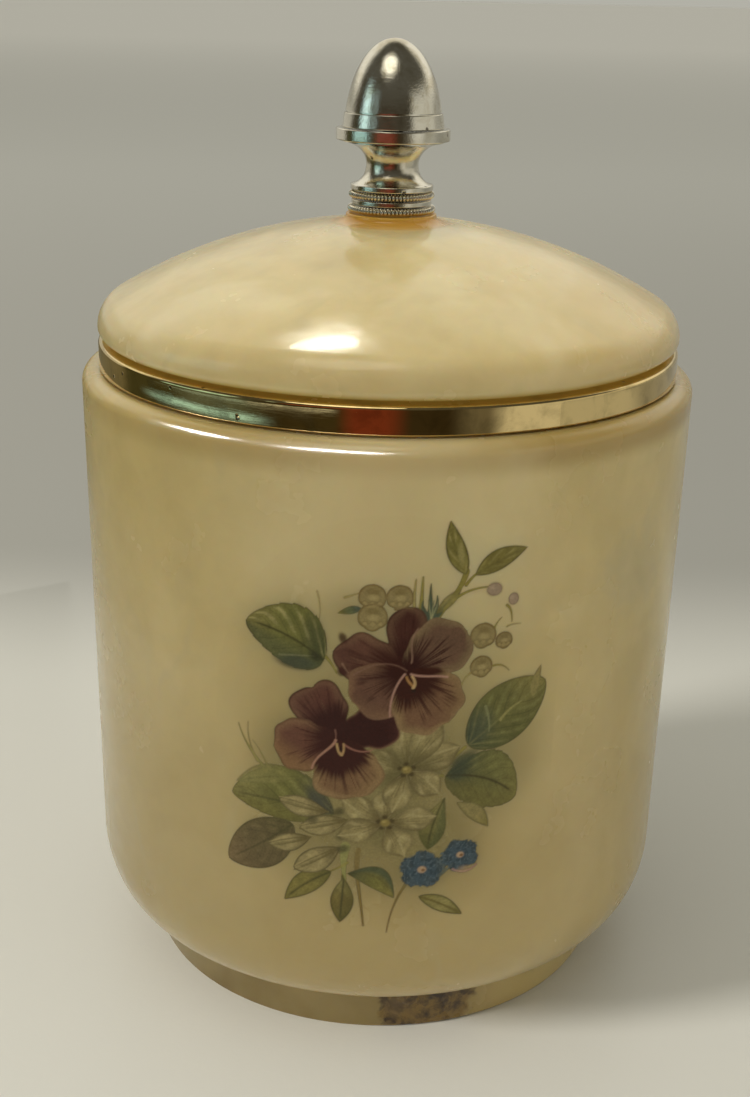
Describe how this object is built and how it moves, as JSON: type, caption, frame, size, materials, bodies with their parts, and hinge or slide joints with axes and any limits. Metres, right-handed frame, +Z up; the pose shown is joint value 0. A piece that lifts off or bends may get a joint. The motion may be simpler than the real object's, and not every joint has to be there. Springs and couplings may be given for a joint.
{
  "type": "lidded powder jar",
  "caption": "Round lidded vanity jar turned from alabaster on a low foot, with a plated rim band, a domed lift-off lid and a plated acorn finial.",
  "frame": {"origin": "centre of the foot's flat underside", "axes": "+Z up along the turning axis; the printed flower spray faces -Y; +X to the right of a viewer who faces the flowers"},
  "size_m": [0.1112, 0.1112, 0.1706],
  "materials": {
    "alabaster_body": "honey-cream translucent alabaster, turned and lacquered to a high gloss",
    "alabaster_lid": "paler clouded alabaster, turned and lacquered to a high gloss",
    "alabaster_foot": "alabaster with a brown vein, polished",
    "gold_plate": "bright gold plate over pressed brass, lightly worn",
    "silver_plate": "bright silver plate, slightly yellowed",
    "brass": "bare turned brass",
    "zinc_steel": "zinc-plated steel",
    "fibre": "red vulcanised fibre"
  },
  "bodies": {
    "jar": {"foot_disc": "alabaster_foot", "jar_body": "alabaster_body", "rim_band": "gold_plate"},
    "lid": {"lid": "alabaster_lid", "lower_bead_ring": "silver_plate", "bead_spacer": "silver_plate", "upper_bead_ring": "silver_plate", "finial_neck": "silver_plate", "finial_collar": "silver_plate", "finial_acorn": "silver_plate", "finial_stud": "zinc_steel", "fibre_washer": "fibre", "brass_washer": "brass", "lid_nut": "brass"}
  },
  "joints": [
    {"name": "lid_lift", "type": "slide", "parent": "jar", "child": "lid", "axis": [0, 0, 1], "range_m": [0, 0.07]}
  ]
}
